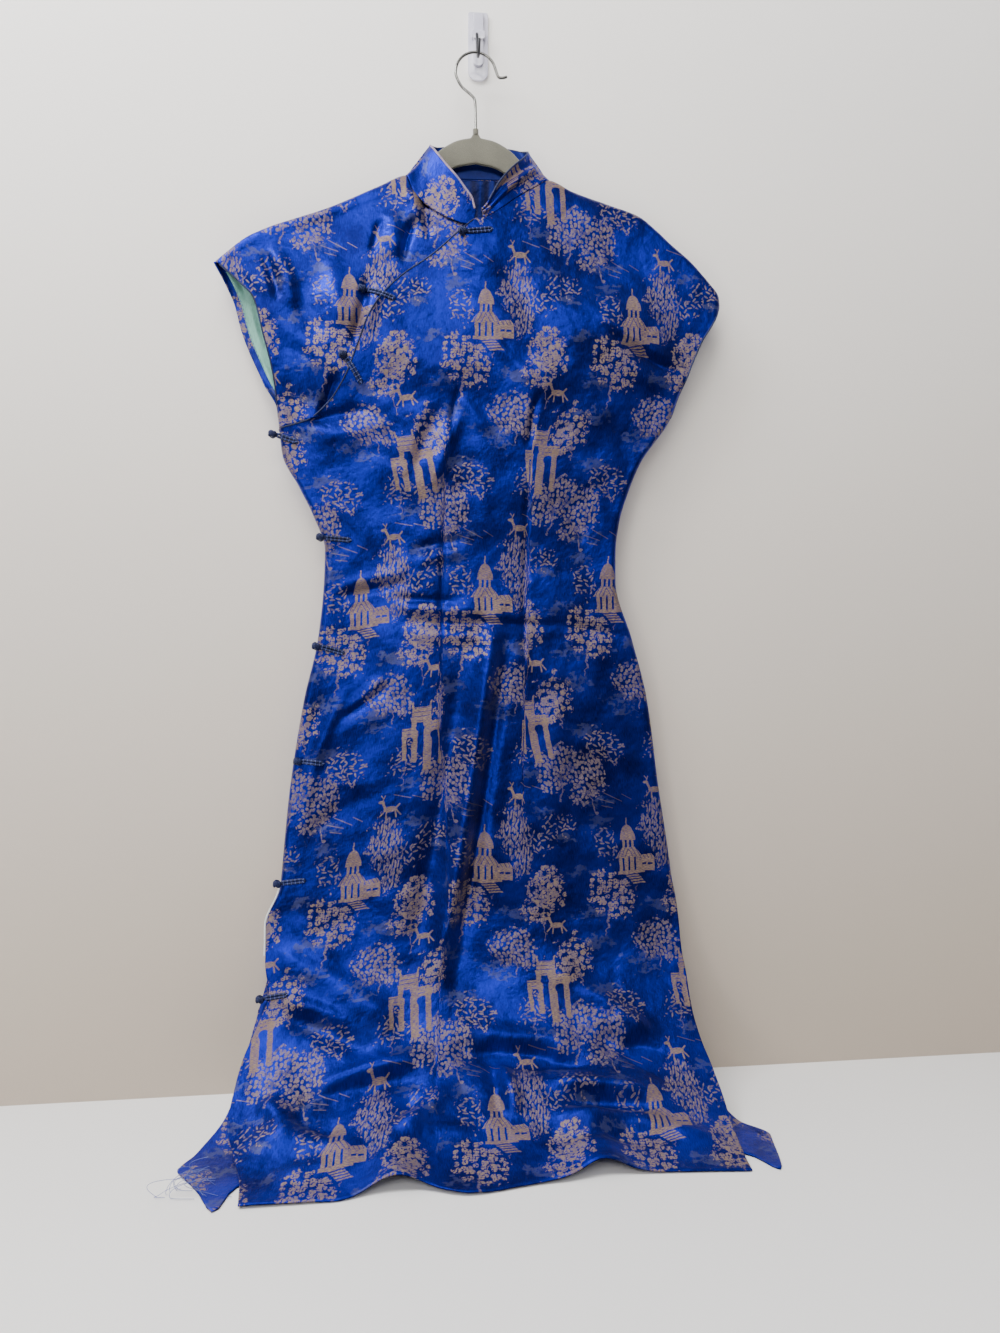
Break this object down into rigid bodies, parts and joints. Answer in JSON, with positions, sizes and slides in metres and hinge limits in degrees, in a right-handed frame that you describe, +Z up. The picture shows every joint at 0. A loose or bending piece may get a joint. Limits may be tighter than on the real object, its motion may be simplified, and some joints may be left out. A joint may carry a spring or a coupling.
{
  "type": "cheongsam dress on a hanger",
  "caption": "Long brocade cheongsam with a stand collar, slanted closing and knotted frog buttons, hung on a thin flocked hanger from a wall hook with its hem resting forward on a table.",
  "frame": {"origin": "centre of the wall hook plate's flat back, on the wall", "axes": "+Z up, +X to the viewer's right, which is the wearer's left, +Y into the wall"},
  "size_m": [0.579, 0.2325, 1.1873],
  "materials": {
    "brocade": "satin jacquard weave with dull gold landscape motifs",
    "lining": "smooth lining satin",
    "cord": "rolled satin cord",
    "flock": "short velvet flock over plastic",
    "steel": "plated wire",
    "dark_wire": "dark bent wire",
    "clear_plastic": "clear moulded plastic over a white strip"
  },
  "bodies": {
    "root": {"front": "brocade", "back": "brocade", "underlap": "brocade", "collar": "brocade", "sleeve_lining": "lining", "frog_side_1": "cord", "frog_side_2": "cord", "frog_side_3": "cord", "frog_side_4": "cord", "frog_side_5": "cord", "frog_side_6": "cord", "frog_slant_1": "cord", "frog_slant_2": "cord", "frog_collar": "cord", "hanger_body": "flock", "hanger_hook": "steel", "wall_hook_wire": "dark_wire", "wall_hook_plate": "clear_plastic"}
  },
  "joints": []
}
